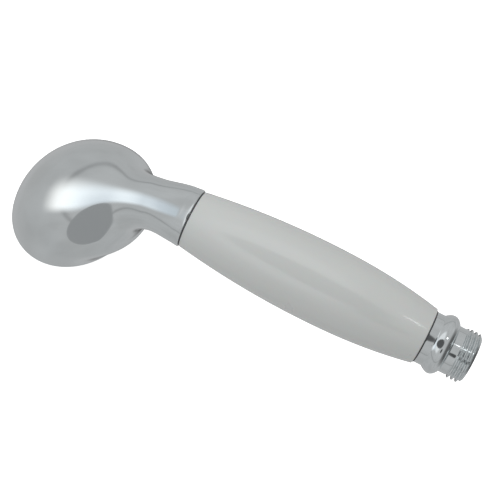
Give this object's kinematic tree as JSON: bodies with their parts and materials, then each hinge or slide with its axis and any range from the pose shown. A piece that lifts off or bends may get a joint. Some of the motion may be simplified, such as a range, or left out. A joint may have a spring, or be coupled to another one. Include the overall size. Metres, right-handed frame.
{
  "type": "handheld shower head",
  "caption": "Traditional shower handset: chromed bell head on a curved neck, white barrel handle and a hose-thread ferrule with a check valve inside.",
  "frame": {"origin": "middle of the hose thread's end face, where the hose washer seals", "axes": "+X along the handle from the hose thread to the head, +Z out of the back of the handset, so the spray leaves downwards and back towards the hand"},
  "size_m": [0.2041, 0.0612, 0.0816],
  "materials": {
    "chrome": "polished chrome plate on brass",
    "chrome_plate": "polished chrome plate, fine turned marks",
    "white_handle": "glossy moulded white",
    "silicone": "grey silicone",
    "black_rubber": "black sealing rubber",
    "inner_plastic": "natural moulded acetal",
    "valve_plastic": "blue moulded acetal",
    "brass": "drawn tube",
    "steel_mesh": "stainless mesh",
    "spring_steel": "stainless wire"
  },
  "bodies": {
    "root": {"head_shell": "chrome", "handle_sleeve": "white_handle", "upper_gasket": "black_rubber", "lower_gasket": "black_rubber", "water_tube": "brass", "upper_tube_seal": "black_rubber", "lower_tube_seal": "black_rubber", "upper_bush": "inner_plastic", "lower_bush": "inner_plastic", "end_ferrule": "chrome", "inlet_filter": "steel_mesh", "flow_restrictor": "inner_plastic", "regulator_ring": "black_rubber", "check_valve_body": "inner_plastic", "check_valve_guide": "inner_plastic", "check_valve_spring": "spring_steel", "check_valve_seal": "black_rubber"},
    "spray_cartridge": {"spray_plate": "chrome_plate", "nozzle_mat": "silicone", "spreader_plate": "inner_plastic", "rose_seal": "black_rubber", "centre_screw": "chrome"},
    "retaining_ring": {"rose_ring": "chrome"},
    "valve_plug": {"check_valve_poppet": "valve_plastic", "poppet_seal": "black_rubber"}
  },
  "joints": [
    {"name": "cartridge_travel", "type": "slide", "parent": "root", "child": "spray_cartridge", "axis": [-0.3502, 0, -0.9367], "range_m": [0, 0.006]},
    {"name": "ring_turn", "type": "hinge", "parent": "spray_cartridge", "child": "retaining_ring", "pos_m": [0.17525, 0, -0.05243], "axis": [-0.3502, 0, -0.9367], "range_deg": [0, 1440]},
    {"name": "valve_lift", "type": "slide", "parent": "root", "child": "valve_plug", "axis": [1, 0, 0], "range_m": [0, 0.002], "stiffness_N_per_m": 30, "springref_m": -0.002, "deforming": ["check_valve_spring"]}
  ],
  "couplings": [
    {"joint": "ring_turn", "follows": "cartridge_travel", "rad_per_m": 4188.8}
  ]
}
